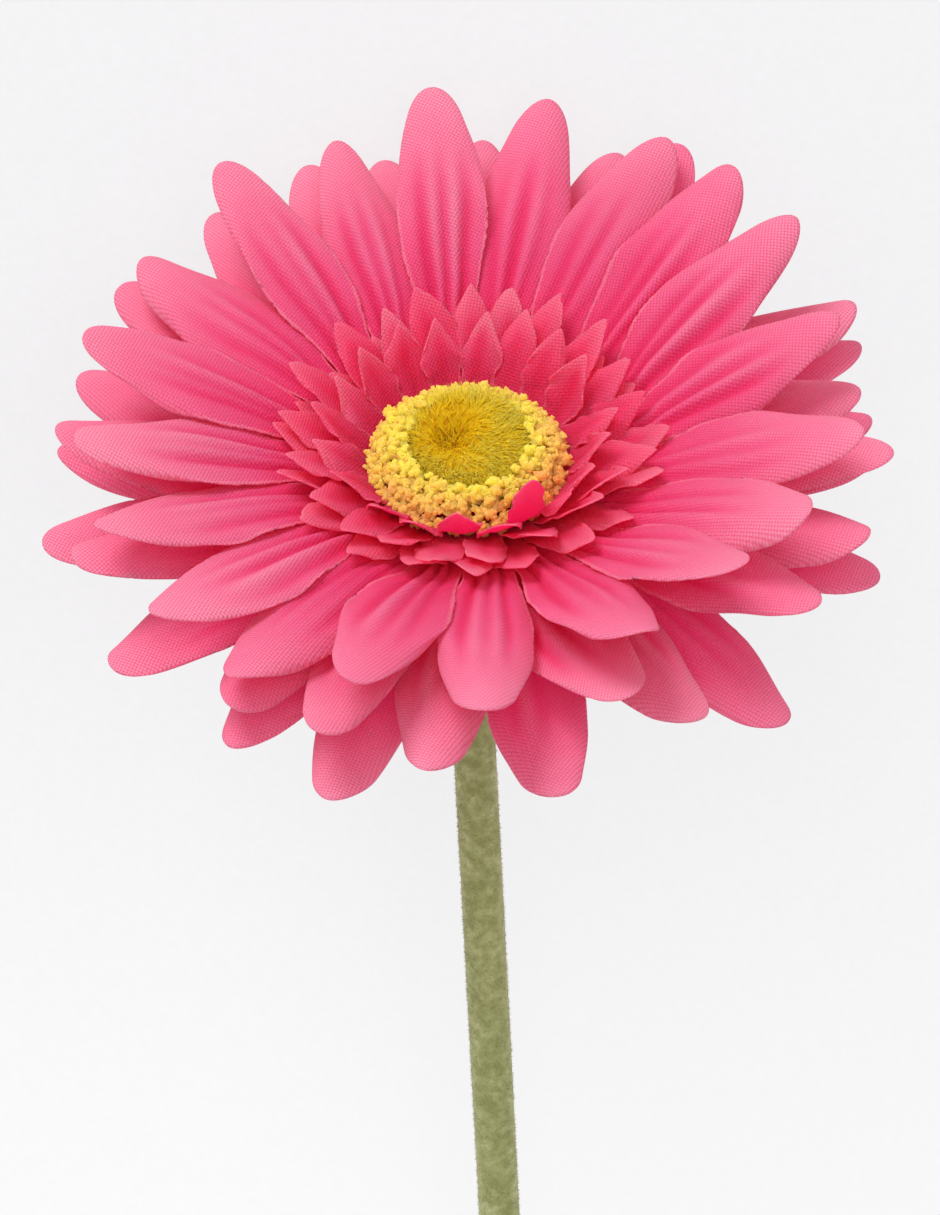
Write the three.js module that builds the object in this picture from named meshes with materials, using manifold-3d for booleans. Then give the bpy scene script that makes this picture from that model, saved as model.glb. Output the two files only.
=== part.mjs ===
// An artificial gerbera, cut to a short stem and lying on a flat surface.
//
// Three large and three small fabric discs are threaded on a bush. Each disc is one die-cut cloth sheet,
// slit into twenty petals. A ring of crumbs and a pile button close the head in front, a moulded calyx
// closes it behind, and a flocked sleeve on a steel wire is the stem.
//
// Units are millimetres and +Z is up. The stem lies along Y, and the flower faces +Y and upwards.
// The head has a frame of its own: its axis is z, and z = 0 is the middle of the upper ray disc.

import * as THREE from 'three';
import { mergeVertices } from 'three/addons/utils/BufferGeometryUtils.js';
import Module from 'manifold-3d';

const wasm = await Module();
wasm.setup();

// Pose of the flower on the surface, degrees.
const FACE_ELEVATION = 31; // how far the flower's axis looks up from level
const NECK_BEND = 25; // angle between the flower's axis and the straight stem
const LOW_AZIMUTH = 96.5; // head azimuth that is turned down to the surface

// Clearances and cloth.
const GAP = 0.3; // between pieces that touch
const CLOTH = 0.6; // cloth and its stiffening, drawn thick
const SLIT_WIDTH = 0.6; // opening of a slit at its inner end
const CHANNEL = 0.35; // depth of the channel pressed along each petal
const DISC_PITCH = 1.0; // from one disc to the next along the bush
const PETALS = 20; // petals of every disc
const SECTOR = 360 / PETALS;

// Parts on the head's axis.
const HOLE_RADIUS = 2.7; // hole in every disc
const BUSH_RADIUS = 2.4;
const BUSH_BORE = 1.4;
const WIRE_RADIUS = 1.1;
const CALYX_RADIUS = 9;
const CALYX_DEPTH = 9.4;
const CALYX_BORE = 1.45;
const BRACTS = 12;
const BUTTON_RADIUS = 8.6;
const RING_INNER = 8.9;
const RING_OUTER = 11.4;
const CRUMB_RADIUS = 0.85;

// Stem.
const SLEEVE_RADIUS = 3.15;
const SLEEVE_BORE = 1.45;
const NECK_ARC = 36; // length of the bend below the head
const STRAIGHT = 244; // length of the straight stem

// Every disc is flat out to RISE_FROM and reaches its full slope at RISE_TO.
const RISE_FROM = 9;
const RISE_TO = 16;

// The discs, from the back of the flower to the front. Sway and lift are in degrees, one pair a petal,
// clockwise from the first petal's azimuth: sway turns a petal out of the even star, lift bends it up.
// Trim is in millimetres: how much longer or shorter than the others a petal came out.
// Of two neighbours the one that is lifted more lies over the other: over and under are the drops of
// such a petal's edge and of the edge tucked below it.
const RAY_FORM = { slit: 22, length: 55.5, halfWidth: 6.1, tipWidth: 0.42, tipArc: 2.6, over: 0.2, under: 1.7,
  bands: [0.15, 0.4, 0.64, 0.86, 1], columns: 4 };
const FLORET_FORM = { slit: 13, halfWidth: 2.6, tipWidth: 0.24, tipArc: 1.0, over: -0.3, under: 0.4,
  bands: [0.34, 0.7, 1], columns: 2 };
const DISCS = [
  { ...RAY_FORM, name: 'ray_disc_lower', level: -2, slope: 8, droop: 10, first: 105.5, color: 0xe8708f,
    sway: [0, 0, -3, -3, -11, -4, 5, 2, -7, 0, -4, -3, 3, 6, 2, -1, 0, -6, -3, -2],
    lift: [0, 0, 1, 0, -1, -5, 0, -2, -6, 4, 1, 5, -3, -2, -1, 2, 1, -2, -3, 1],
    trim: [0, 0, 0, 0, 2, 0, -3, 1, 1, -5, 0, -7, 1, 0, 1, 1, -1, -1, -1, 0] },
  { ...RAY_FORM, name: 'ray_disc_middle', level: -1, slope: 18, droop: 12, first: 105, color: 0xec7c9a,
    sway: [-3, 1, -1, 8, -8, -6, -1, 2, 4, -2, 8, -2, 1, 5, -10, -13, -11, -11, -12, -9],
    lift: [-8, -5, 0, 8, -5, -3, 0, -3, 4, -4, 8, -3, 2, -3, -1, 4, -7, -7, -7, -2],
    trim: [0, 1, 0, 3, 3, -3, 1, 0, 0, 0, -1, 0, 0, -2, 1, 1, -1, 0, 0, 1] },
  { ...RAY_FORM, name: 'ray_disc_upper', level: 0, slope: 30, droop: 14, first: 97, color: 0xf189a6,
    sway: [-2, 0, -1, 4, 10, 8, 2, 0, 1, 0, -5, -6, -4, 1, 1, 3, 2, -4, -4, -5],
    lift: [3, -4, -2, 0, 0, 0, 0, 7, 12, 9, -4, 0, -12, -7, -6, 0, 3, -14, -3, -12],
    trim: [2, 2, 1, 1, 2, -2, -1, -1, -1, -1, 0, 0, 0, 0, -1, -1, -1, -2, 1, -1] },
  { ...FLORET_FORM, name: 'floret_disc_outer', level: 1, slope: 35, droop: 3, first: 109, color: 0xe0486c,
    length: 28.6, halfWidth: 2.9,
    sway: [0, 2, 4, 1, 0, 2, -2, 0, -3, 0, -3, 1, 0, 1, -2, 1, -2, 1, 2, 0],
    lift: [0, 1, 0, 1, 0, 0, 1, 0, -1, 2, 0, 1, 0, -3, -3, -1, 0, 0, 0, 1],
    trim: [-5, -6, 0, -5, -4, -3, 0, 0, 0, 0, 0, 0, 0, 0, 0, 0, -1, -4, -5, -5] },
  { ...FLORET_FORM, name: 'floret_disc_middle', level: 2, slope: 41, droop: 7, first: 118, color: 0xe2456a,
    length: 27.2, halfWidth: 2.8,
    sway: [1, 5, 8, -3, -5, -1, 4, -3, 0, 3, -2, -5, -4, -1, 4, 6, 6, 6, 5, -1],
    lift: [1, 4, -1, 1, 0, -1, 0, 3, 6, 7, 6, 2, -1, 2, 3, 0, 0, 0, 1, 1],
    trim: [-1, 0, 0, 1, 1, 0, -1, 0, -1, 0, 0, 0, 0, 0, 0, 0, 0, 0, 1, 0] },
  { ...FLORET_FORM, name: 'floret_disc_inner', level: 3, slope: 53, droop: 11, first: 121, color: 0xe03c60,
    length: 22.8,
    sway: [0, 1, -3, 0, 3, 4, -4, -7, -5, -4, -2, 3, 2, 1, 1, -3, -3, -1, -1, 0],
    lift: [0, 4, 3, 0, 4, 5, 1, 4, 6, 6, 18, 1, 12, 2, 3, 5, 0, 1, 3, 3],
    trim: [0, -1, 0, 1, 1, 0, 0, 0, 0, 0, 2, 1, 0, 0, 0, 0, 0, 1, 0, 0] },
];
const TOP_LEVEL = DISCS.at(-1).level * DISC_PITCH + CLOTH / 2; // front face of the last disc
const BACK_LEVEL = DISCS[0].level * DISC_PITCH - CLOTH / 2; // back face of the first disc

const radians = THREE.MathUtils.degToRad;

// A short seeded generator of numbers from 0 to 1, so that every build is the same.
function seeded(seed) {
  let state = seed;
  return () => {
    state = (state * 1664525 + 1013904223) % 4294967296;
    return state / 4294967296;
  };
}

function geometryFrom(points, triangles) {
  const geometry = new THREE.BufferGeometry();
  geometry.setAttribute('position', new THREE.Float32BufferAttribute(points.flatMap((p) => p.toArray()), 3));
  geometry.setIndex(triangles.flat());
  return geometry;
}

function meshOf(name, geometry, color, roughness = 0.85, metalness = 0) {
  geometry.computeVertexNormals();
  const mesh = new THREE.Mesh(geometry, new THREE.MeshStandardMaterial({ color, roughness, metalness }));
  mesh.name = name;
  return mesh;
}

// Booleans: a geometry becomes a solid, and a solid becomes a geometry.
function solidOf(geometry) {
  const bare = new THREE.BufferGeometry();
  bare.setAttribute('position', geometry.getAttribute('position').clone());
  if (geometry.index) bare.setIndex(geometry.index.clone());
  const merged = mergeVertices(bare, 1e-4);
  return new wasm.Manifold(new wasm.Mesh({
    numProp: 3,
    vertProperties: new Float32Array(merged.getAttribute('position').array),
    triVerts: new Uint32Array(merged.index.array),
  }));
}

function geometryOf(solid) {
  const mesh = solid.getMesh();
  const geometry = new THREE.BufferGeometry();
  geometry.setAttribute('position', new THREE.BufferAttribute(mesh.vertProperties, 3));
  geometry.setIndex(new THREE.BufferAttribute(mesh.triVerts, 1));
  return geometry;
}

// Gives an open sheet its thickness: the same triangles in front and behind, and a rim between them.
function thicken(points, normals, triangles, thickness) {
  const count = points.length;
  const front = points.map((p, i) => p.clone().addScaledVector(normals[i], thickness / 2));
  const back = points.map((p, i) => p.clone().addScaledVector(normals[i], -thickness / 2));
  const faces = [...triangles, ...triangles.map(([a, b, c]) => [c + count, b + count, a + count])];
  const edges = new Set(triangles.flatMap(([a, b, c]) => [`${a},${b}`, `${b},${c}`, `${c},${a}`]));
  for (const edge of edges) {
    const [a, b] = edge.split(',').map(Number);
    if (edges.has(`${b},${a}`)) continue;
    faces.push([b, a, a + count], [b, a + count, b + count]);
  }
  return geometryFrom([...front, ...back], faces);
}

// Slope of a disc's cloth, in radians, at a distance along the flat sheet from the axis.
function slopeAt(disc, distance, length, lift) {
  const rise = THREE.MathUtils.smoothstep(distance, RISE_FROM, RISE_TO);
  const free = Math.max(0, distance - disc.slit) / (length - disc.slit);
  const bent = Math.min(1, free * 3);
  return radians(disc.slope * rise - disc.droop * free + lift * bent);
}

// Radius and height that the cloth reaches at a distance along the flat sheet.
function reach(disc, distance, length, lift) {
  const step = 0.25;
  let radius = 0;
  let height = disc.level * DISC_PITCH;
  for (let along = 0; along < distance; along += step) {
    const run = Math.min(step, distance - along);
    const slope = slopeAt(disc, along + run / 2, length, lift);
    radius += run * Math.cos(slope);
    height += run * Math.sin(slope);
  }
  return { radius, height, slope: slopeAt(disc, distance, length, lift) };
}

function around(azimuth, radius, height) {
  return new THREE.Vector3(radius * Math.cos(azimuth), radius * Math.sin(azimuth), height);
}

// Half width of a petal from its slit (0) to its tip (1): it swells as a sine and closes as an arc.
function halfWidthAt(disc, part) {
  const widest = 0.64;
  const root = disc.slit * Math.tan(radians(SECTOR / 2)) - SLIT_WIDTH / 2;
  if (part < widest) return root + (disc.halfWidth - root) * Math.sin((part / widest) * Math.PI / 2) ** 2;
  const closing = (part - widest) / (1 - widest);
  const arc = Math.sqrt(1 - closing ** 2);
  return disc.halfWidth * (disc.tipWidth + (1 - disc.tipWidth) * arc);
}

// One die-cut disc: rings of the uncut middle, then the rows of each petal beyond the slits.
function discGeometry(disc, seed) {
  const draw = seeded(seed);
  const columns = disc.columns;
  const points = [];
  const normals = [];
  const triangles = [];
  const addPoint = (point, normal) => {
    points.push(point);
    normals.push(normal);
    return points.length - 1;
  };
  const addRing = (distance, parts) => {
    const { radius, height, slope } = reach(disc, distance, disc.length, 0);
    const ring = [];
    for (let i = 0; i < PETALS * parts; i++) {
      const azimuth = radians(disc.first + SECTOR / 2) - (i / parts) * radians(SECTOR);
      const normal = around(azimuth, -Math.sin(slope), Math.cos(slope));
      ring.push(addPoint(around(azimuth, radius, height), normal));
    }
    return ring;
  };
  // The rings run clockwise, so a band's triangles are listed to face the front.
  const addBand = (inner, outer) => {
    const ratio = outer.length / inner.length;
    for (let i = 0; i < inner.length; i++) {
      const next = (i + 1) % inner.length;
      const middle = Math.floor(ratio / 2);
      for (let k = 0; k < ratio; k++) {
        const a = outer[i * ratio + k];
        const b = outer[(i * ratio + k + 1) % outer.length];
        triangles.push([k < middle || ratio === 1 ? inner[i] : inner[next], b, a]);
      }
      triangles.push([inner[i], inner[next], outer[(i * ratio + (ratio === 1 ? 1 : middle)) % outer.length]]);
    }
  };
  const rings = columns === 4
    ? [[HOLE_RADIUS, 1], [RISE_FROM, 1], [14, 2], [disc.slit, 4]]
    : [[HOLE_RADIUS, 1], [RISE_FROM, 1], [disc.slit, 2]];
  const ringIds = rings.map(([distance, parts]) => addRing(distance, parts));
  for (let i = 1; i < ringIds.length; i++) addBand(ringIds[i - 1], ringIds[i]);

  const slitRing = ringIds.at(-1);
  for (let petal = 0; petal < PETALS; petal++) {
    const length = disc.length * (0.98 + 0.03 * draw()) + (disc.trim ? disc.trim[petal] : 0);
    const lift = disc.lift[petal];
    const before = disc.lift[(petal + PETALS - 1) % PETALS];
    const after = disc.lift[(petal + 1) % PETALS];
    const dropBefore = lift >= before ? disc.over : disc.under;
    const dropAfter = lift > after ? disc.over : disc.under;
    const root = reach(disc, disc.slit, length, lift);
    const end = reach(disc, length, length, lift);
    const rootAzimuth = radians(disc.first - petal * SECTOR);
    const heading = rootAzimuth + radians(disc.sway[petal]) * (end.radius / (end.radius - root.radius));
    const foot = around(rootAzimuth, root.radius, 0);
    const outward = around(heading, 1, 0);
    const sideways = around(heading - Math.PI / 2, 1, 0);

    let previous = Array.from({ length: columns + 1 },
      (_, k) => slitRing[(petal * columns + k) % slitRing.length]);
    for (const part of disc.bands) {
      const row = [];
      for (let k = 0; k <= columns; k++) {
        const side = (2 * k) / columns - 1;
        const distance = disc.slit + part * (length - disc.slit - disc.tipArc * side ** 2);
        const { radius, height, slope } = reach(disc, distance, length, lift);
        const width = side * halfWidthAt(disc, part);
        const share = part * (1 - 0.6 * part) * 2;
        const drop = (side < 0 ? dropBefore : dropAfter) * side ** 2;
        const channel = k === columns / 2 ? CHANNEL : 0;
        const normal = outward.clone().multiplyScalar(-Math.sin(slope));
        normal.z = Math.cos(slope);
        const point = foot.clone()
          .addScaledVector(outward, radius - root.radius)
          .addScaledVector(sideways, width)
          .addScaledVector(normal, -(drop + channel) * share);
        point.z += height;
        row.push(addPoint(point, normal));
      }
      for (let k = 0; k < columns; k++) {
        triangles.push([previous[k], row[k + 1], row[k]], [previous[k], previous[k + 1], row[k + 1]]);
      }
      previous = row;
    }
  }
  return thicken(points, normals, triangles, CLOTH);
}

// A turned piece about z. The profile is a closed list of [radius, z], and may touch the axis.
function turned(profile, segments) {
  const outline = profile.map(([radius, height]) => new THREE.Vector2(radius, height));
  if (profile[0][0] > 0) outline.push(outline[0].clone());
  return new THREE.LatheGeometry(outline, segments).rotateX(Math.PI / 2);
}

// A bush with flats all round, so that its box is centred on its own axis.
function bushGeometry() {
  const profile = [[BUSH_BORE, BACK_LEVEL], [BUSH_RADIUS, BACK_LEVEL], [BUSH_RADIUS, TOP_LEVEL],
    [BUSH_BORE, TOP_LEVEL]];
  return turned(profile, 16);
}

// The crumb ring: a low core, with rows of crumbs sunk in it by two fifths of their size.
function crumbRingGeometry() {
  const base = TOP_LEVEL + GAP;
  const core = [[RING_INNER, base], [RING_OUTER - 0.9, base + 0.25], [RING_OUTER, base + 1.1],
    [RING_OUTER - 1, base + 2.2], [RING_INNER, base + 2.7]];
  const draw = seeded(11);
  const rows = [[RING_OUTER + 0.1, base + 1.35, 32], [RING_OUTER - 0.8, base + 2.3, 28],
    [RING_INNER + 0.95, base + 2.8, 24]];
  const solids = [solidOf(turned(core, 32))];
  for (const [radius, height, count] of rows) {
    for (let i = 0; i < count; i++) {
      const azimuth = ((i + 0.3 * draw()) / count) * 2 * Math.PI;
      const crumb = new THREE.OctahedronGeometry(CRUMB_RADIUS * (0.85 + 0.25 * draw()));
      crumb.rotateX(3 * draw()).rotateZ(3 * draw());
      const place = around(azimuth, radius, height + 0.2 * draw());
      solids.push(solidOf(crumb.translate(place.x, place.y, place.z)));
    }
  }
  return geometryOf(wasm.Manifold.union(solids));
}

// The pile button: a low dome with a dimple, its surface raised in staggered tufts.
function buttonGeometry() {
  const base = TOP_LEVEL + GAP;
  const profile = [[BUTTON_RADIUS - 0.7, 0], [BUTTON_RADIUS - 0.35, 1.3], [7.3, 2.75], [5.6, 3.1], [3.8, 2.9],
    [1.9, 2.3]];
  const sides = 28;
  const points = [new THREE.Vector3(0, 0, base)];
  profile.forEach(([radius, rise], ring) => {
    for (let i = 0; i < sides; i++) {
      const tuft = ring > 0 ? 0.22 * (-1) ** (i + ring) : 0;
      points.push(around((i / sides) * 2 * Math.PI, radius + (ring < 3 ? tuft : 0), base + rise + tuft));
    }
  });
  const apex = points.push(new THREE.Vector3(0, 0, base + 2)) - 1;
  const triangles = [];
  for (let i = 0; i < sides; i++) {
    const next = (i + 1) % sides;
    triangles.push([0, 1 + next, 1 + i]);
    for (let ring = 1; ring < profile.length; ring++) {
      const low = 1 + (ring - 1) * sides;
      const high = low + sides;
      triangles.push([low + i, low + next, high + next], [low + i, high + next, high + i]);
    }
    const last = 1 + (profile.length - 1) * sides;
    triangles.push([last + i, last + next, apex]);
  }
  return geometryFrom(points, triangles);
}

// The calyx: a moulded cup round the wire, with pointed bracts standing off its flank.
function calyxGeometry() {
  const top = BACK_LEVEL - GAP;
  const foot = top - CALYX_DEPTH;
  const neck = SLEEVE_RADIUS + 0.25;
  const flank = (share) => {
    const radius = neck + (CALYX_RADIUS - neck) * Math.sin(share * Math.PI / 2);
    return [radius, foot + 1.6 + (top - 0.5 - foot - 1.6) * share ** 1.4];
  };
  const profile = [[CALYX_BORE, foot], [neck, foot], ...[0, 0.25, 0.5, 0.75, 1].map(flank),
    [CALYX_RADIUS - 0.4, top], [CALYX_BORE, top]];
  const solids = [solidOf(turned(profile, BRACTS * 2))];
  for (let i = 0; i < BRACTS; i++) {
    solids.push(solidOf(bractGeometry(flank, (i / BRACTS) * 2 * Math.PI)));
  }
  return geometryOf(wasm.Manifold.union(solids));
}

// One bract: a tongue along the cup's flank, sunk in it at the root and 0.5 proud at its pointed tip.
function bractGeometry(flank, azimuth) {
  const rows = [[0.08, 0.7, -0.1], [0.55, 1.45, 0.2], [1, 0.14, 0.5]];
  const outward = around(azimuth, 1, 0);
  const sideways = around(azimuth + Math.PI / 2, 1, 0);
  const points = [];
  const normals = [];
  for (const [part, halfWidth, stand] of rows) {
    const [radius, height] = flank(part);
    for (const side of [-1, 0, 1]) {
      const curved = radius + stand - 0.25 * side ** 2;
      const point = outward.clone().multiplyScalar(curved).addScaledVector(sideways, side * halfWidth);
      point.z = height - 0.5 * stand;
      points.push(point);
      normals.push(outward.clone().setZ(-0.5).normalize());
    }
  }
  const triangles = [];
  for (let row = 0; row < rows.length - 1; row++) {
    for (const k of [0, 1]) {
      const a = row * 3 + k;
      triangles.push([a, a + 1, a + 4], [a, a + 4, a + 3]);
    }
  }
  return thicken(points, normals, triangles, 0.7);
}

// Stations along the stem in the head's side plane: [along Y, along Z, slope of the line in degrees].
// The line leaves the calyx down the flower's axis, bends by NECK_BEND and runs straight to the cut end.
function stemStations(start) {
  const axis = radians(FACE_ELEVATION);
  const stations = [];
  let y = -start * Math.cos(axis);
  let z = -start * Math.sin(axis);
  const bends = 6;
  for (let i = 0; i <= bends; i++) {
    stations.push([y, z, FACE_ELEVATION - (NECK_BEND * i) / bends]);
    if (i === bends) break;
    const slope = radians(FACE_ELEVATION - (NECK_BEND * (i + 0.5)) / bends);
    y -= (NECK_ARC / bends) * Math.cos(slope);
    z -= (NECK_ARC / bends) * Math.sin(slope);
  }
  const slope = radians(FACE_ELEVATION - NECK_BEND);
  stations.push([y - STRAIGHT * Math.cos(slope), z - STRAIGHT * Math.sin(slope), FACE_ELEVATION - NECK_BEND]);
  return stations;
}

// A round bar or tube along the stations. A flat of its outline is turned down to the surface.
function barGeometry(stations, radius, bore, sides, boreSides) {
  const points = [];
  const ringOf = ([y, z, slope], ringRadius, count) => {
    const tilt = radians(slope);
    const up = new THREE.Vector3(0, -Math.sin(tilt), Math.cos(tilt));
    const ring = [];
    for (let i = 0; i < count; i++) {
      const turn = ((i + 0.5) / count) * 2 * Math.PI;
      const point = new THREE.Vector3(ringRadius * Math.sin(turn), y, z);
      points.push(point.addScaledVector(up, -ringRadius * Math.cos(turn)));
      ring.push(points.length - 1);
    }
    return ring;
  };
  const triangles = [];
  const join = (a, b) => {
    for (let i = 0; i < a.length; i++) {
      const next = (i + 1) % a.length;
      triangles.push([a[i], a[next], b[next]], [a[i], b[next], b[i]]);
    }
  };
  const outer = stations.map((station) => ringOf(station, radius, sides));
  outer.slice(1).forEach((ring, i) => join(outer[i], ring));
  if (bore > 0) {
    const inner = stations.map((station) => ringOf(station, bore, boreSides));
    inner.slice(1).forEach((ring, i) => join(ring, inner[i]));
    const ratio = sides / boreSides;
    for (const [hole, rim, flip] of [[inner[0], outer[0], false], [inner.at(-1), outer.at(-1), true]]) {
      for (let i = 0; i < boreSides; i++) {
        const next = (i + 1) % boreSides;
        const fan = [[hole[i], hole[next], rim[(i * ratio + ratio) % sides]]];
        for (let k = 0; k < ratio; k++) {
          fan.push([hole[i], rim[(i * ratio + k + 1) % sides], rim[i * ratio + k]]);
        }
        triangles.push(...fan.map(([a, b, c]) => (flip ? [a, c, b] : [a, b, c])));
      }
    }
  } else {
    for (const [rim, flip] of [[outer[0], false], [outer.at(-1), true]]) {
      for (let i = 1; i < sides - 1; i++) {
        triangles.push(flip ? [rim[0], rim[i], rim[i + 1]] : [rim[0], rim[i + 1], rim[i]]);
      }
    }
  }
  return geometryFrom(points, triangles);
}

function buildHead() {
  const head = new THREE.Group();
  DISCS.forEach((disc, i) => head.add(meshOf(disc.name, discGeometry(disc, 101 + i), disc.color)));
  head.add(meshOf('hub_bush', bushGeometry(), 0x9bb070, 0.5));
  head.add(meshOf('pollen_ring', crumbRingGeometry(), 0xd9a23c, 0.95));
  head.add(meshOf('centre_button', buttonGeometry(), 0xe0b512, 1));
  head.add(meshOf('calyx', calyxGeometry(), 0x7f9a4e, 0.55));
  head.rotation.z = radians(90 - LOW_AZIMUTH);
  return head;
}

function buildStem() {
  const stem = new THREE.Group();
  const collar = CALYX_DEPTH - BACK_LEVEL + 2 * GAP;
  const sleeve = stemStations(collar);
  const axis = radians(FACE_ELEVATION);
  const wireTop = TOP_LEVEL - GAP;
  const wire = [[wireTop * Math.cos(axis), wireTop * Math.sin(axis), FACE_ELEVATION], ...sleeve];
  stem.add(meshOf('stem_sleeve', barGeometry(sleeve, SLEEVE_RADIUS, SLEEVE_BORE, 16, 8), 0x97975f, 0.95));
  stem.add(meshOf('stem_wire', barGeometry(wire, WIRE_RADIUS, 0, 8, 0), 0xa9abae, 0.35, 0.9));
  return stem;
}

// The head looks along +Y and up by FACE_ELEVATION, then the whole flower is set down with the middle
// of its box on the origin and its lowest point on the surface.
const flower = new THREE.Group();
const tilted = new THREE.Group();
tilted.rotation.x = radians(FACE_ELEVATION - 90);
tilted.add(buildHead());
flower.add(tilted, buildStem());
flower.updateMatrixWorld(true);
const box = new THREE.Box3().setFromObject(flower, true);
const centre = box.getCenter(new THREE.Vector3());
flower.position.set(-centre.x, -centre.y, -box.min.z);

export default flower;
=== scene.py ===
# %% [markdown]
# # An artificial gerbera, dressed over its frame
#
# The frame already holds every piece at its real size and place: three large and three small die-cut
# cloth discs on a bush, a ring of crumbs, a pile button, a moulded calyx, and a flocked stem on a wire.
# This lesson gives each piece its surface. The shapes are worked out in millimetres in the head's own
# frame, where z is the flower's axis, and are then moved into the frame of the whole part, in metres.

# %% Load the frame
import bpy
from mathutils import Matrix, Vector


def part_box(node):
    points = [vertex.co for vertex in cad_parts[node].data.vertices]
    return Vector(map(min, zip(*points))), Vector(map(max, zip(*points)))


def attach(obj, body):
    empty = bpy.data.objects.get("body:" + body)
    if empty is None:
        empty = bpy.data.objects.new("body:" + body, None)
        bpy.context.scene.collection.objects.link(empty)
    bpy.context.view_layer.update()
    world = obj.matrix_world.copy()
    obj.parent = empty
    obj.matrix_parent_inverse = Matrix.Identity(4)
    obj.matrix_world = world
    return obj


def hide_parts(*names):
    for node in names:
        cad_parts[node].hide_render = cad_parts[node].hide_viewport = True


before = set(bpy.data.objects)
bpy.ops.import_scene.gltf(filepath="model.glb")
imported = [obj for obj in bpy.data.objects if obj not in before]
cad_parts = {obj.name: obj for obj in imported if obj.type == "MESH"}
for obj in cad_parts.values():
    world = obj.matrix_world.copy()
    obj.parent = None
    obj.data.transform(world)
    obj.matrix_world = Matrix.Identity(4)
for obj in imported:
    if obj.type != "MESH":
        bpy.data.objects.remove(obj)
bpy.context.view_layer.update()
print("frame nodes:", sorted(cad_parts))

# %% Tools from Python, numpy and Blender
import math

import bpy
import numpy as np
from mathutils import Matrix, Vector

MM = 0.001
print("millimetres to metres:", MM)

# %% [markdown]
# ## Where the head is
#
# The bush is a short tube on the flower's axis, so the middle of its box gives the head's place. The head
# is spun about its own axis and tipped forward until it looks up at 31 degrees, the way such a flower
# rests when it is laid down. One 3 x 3 matrix and one point hold all of that.

# %% The head's frame
FACE_ELEVATION = 31.0  # degrees that the flower's axis looks up from level
LOW_AZIMUTH = 96.5  # head azimuth that is turned down to the surface
BUSH_MIDDLE = 0.5  # mm, height of the bush's middle on the axis

HEAD = np.array(Matrix.Rotation(math.radians(FACE_ELEVATION - 90), 3, "X")
                @ Matrix.Rotation(math.radians(90 - LOW_AZIMUTH), 3, "Z"))
bush_low, bush_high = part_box("hub_bush")
HUB = np.array((bush_low + bush_high) / 2) - HEAD @ np.array([0, 0, BUSH_MIDDLE]) * MM


def in_row_frame(points):
    """Head frame, mm, to the part's frame, metres: the hub's place plus the turned point."""
    return np.asarray(points) @ HEAD.T * MM + HUB


print("hub at, mm:", np.round(HUB / MM, 2))

# %% [markdown]
# ## Small helpers
#
# Almost every piece here is a grid of points: rows and columns, joined by quads. Small helpers list those
# quads, close a grid's ends and repeat a small mesh, and one puts numpy arrays into a mesh with its UV
# maps and attributes. `ease` is the soft step that fades one form into another.

# %% Soft step, unit vectors and grids


def ease(low, high, x):
    """0 below low, 1 above high, and 3t^2 - 2t^3 between, with t the share of the way."""
    t = np.clip((x - low) / (high - low), 0, 1)
    return t * t * (3 - 2 * t)


def unit(azimuth):
    """The level unit vector (cos, sin, 0) at an azimuth in radians, on a new last axis."""
    azimuth = np.asarray(azimuth, float)
    return np.stack([np.cos(azimuth), np.sin(azimuth), np.zeros_like(azimuth)], axis=-1)


def grid_quads(index, wrap=False):
    """Quads between neighbours of a 2-D array of point numbers; wrap joins its last column to its first."""
    if wrap:
        index = np.concatenate([index, index[:, :1]], axis=1)
    corners = (index[:-1, :-1], index[:-1, 1:], index[1:, 1:], index[1:, :-1])
    return np.stack(corners, axis=-1).reshape(-1, 4)


def triangles(quads):
    """Two triangles for each quad: all the first halves, then all the second ones."""
    return np.concatenate([quads[:, [0, 1, 2]], quads[:, [0, 2, 3]]])


def fan(ring, centre, order=(0, 1, 2)):
    """Triangles from each edge of a closed ring of point numbers to one centre point."""
    return np.stack([ring, np.roll(ring, -1), np.full(len(ring), centre)], axis=-1)[:, order]


def numbered(grid, first=0):
    """The point numbers of a grid of points, counted from a first one."""
    return first + np.arange(grid[..., 0].size).reshape(grid.shape[:-1])


def repeated(faces, count):
    """The faces of one small closed mesh, numbered on for each of its copies."""
    faces = np.array(faces)
    numbers = faces[None] + (faces.max() + 1) * np.arange(count)[:, None, None]
    return numbers.reshape(-1, faces.shape[1])


def full_turn(count):
    """Even azimuths round a circle, in radians."""
    return np.arange(count) * 2 * np.pi / count


def one_long(vectors):
    """Each vector divided by its length."""
    return vectors / np.linalg.norm(vectors, axis=-1, keepdims=True)


print("soft step at a quarter:", float(ease(0, 1, 0.25)))

# %% Arrays into a mesh


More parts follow.
